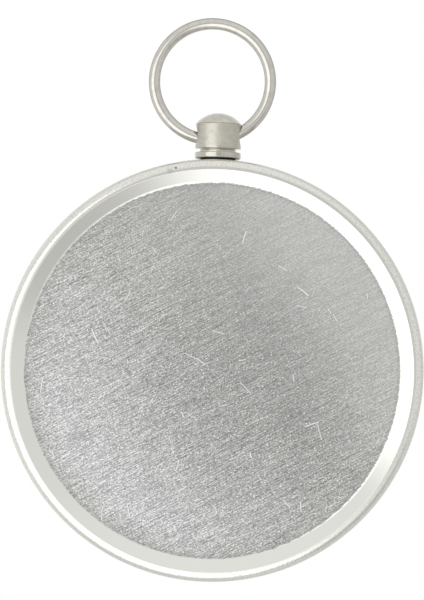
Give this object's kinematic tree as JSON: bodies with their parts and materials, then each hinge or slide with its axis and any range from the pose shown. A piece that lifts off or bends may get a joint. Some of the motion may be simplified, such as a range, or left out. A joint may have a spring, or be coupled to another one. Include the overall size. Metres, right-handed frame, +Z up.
{
  "type": "geology compass",
  "caption": "Pocket-watch style geology compass: round aluminium case, glass front, magnetic needle, hanging dip pointer, and a pendant with a swinging bow ring.",
  "frame": {"origin": "on the case's axis, in the plane that the back rim lies on", "axes": "+Z up through the glass, +Y from the case to the pendant and the bow, +X completes a right-handed frame"},
  "size_m": [0.05, 0.0672, 0.0124],
  "materials": {
    "case_aluminium": "brushed back, polished slope, satin worn rim",
    "bezel_aluminium": "fine turned satin",
    "nickel_plate": "polished nickel plate with light wear",
    "window_glass": "clear, polished",
    "gasket_rubber": "matt black",
    "spring_steel": "ground",
    "plate_aluminium": "plain sheet",
    "dial_enamel": "satin cream enamel with black print",
    "scale_silver": "frosted silver with black print",
    "turned_brass": "turned and lacquered",
    "pointer_black": "satin black paint",
    "needle_paint": "red north half, white south half",
    "jewel_red": "polished jewel"
  },
  "bodies": {
    "case": {"case_shell": "case_aluminium", "bezel_ring": "bezel_aluminium", "glass": "window_glass", "glass_gasket": "gasket_rubber", "glass_snap_ring": "spring_steel", "base_plate": "plate_aluminium", "dial_plate": "dial_enamel", "dial_screws": "turned_brass", "graduation_ring": "scale_silver", "pivot_post": "turned_brass", "pivot_pin": "spring_steel", "clinometer_washer": "spring_steel", "clinometer_collar": "turned_brass", "pendant": "nickel_plate", "pendant_washer": "turned_brass", "pendant_nut": "turned_brass"},
    "needle": {"needle_blade": "needle_paint", "needle_hub": "turned_brass", "needle_jewel": "jewel_red", "needle_rider": "turned_brass"},
    "clinometer": {"clinometer_bush": "turned_brass", "clinometer_arm": "pointer_black", "clinometer_weight": "turned_brass", "weight_rivet": "turned_brass"},
    "bow": {"bow_ring": "nickel_plate"}
  },
  "joints": [
    {"name": "needle_spin", "type": "hinge", "parent": "case", "child": "needle", "pos_m": [0, 0, 0.0079], "axis": [0, 0, 1], "continuous": true},
    {"name": "clinometer_swing", "type": "hinge", "parent": "case", "child": "clinometer", "pos_m": [0, 0, 0.0045], "axis": [0, 0, 1], "continuous": true},
    {"name": "bow_swing", "type": "hinge", "parent": "case", "child": "bow", "pos_m": [0, 0.02807, 0.00505], "axis": [1, 0, 0], "range_deg": [-110, 110]}
  ]
}
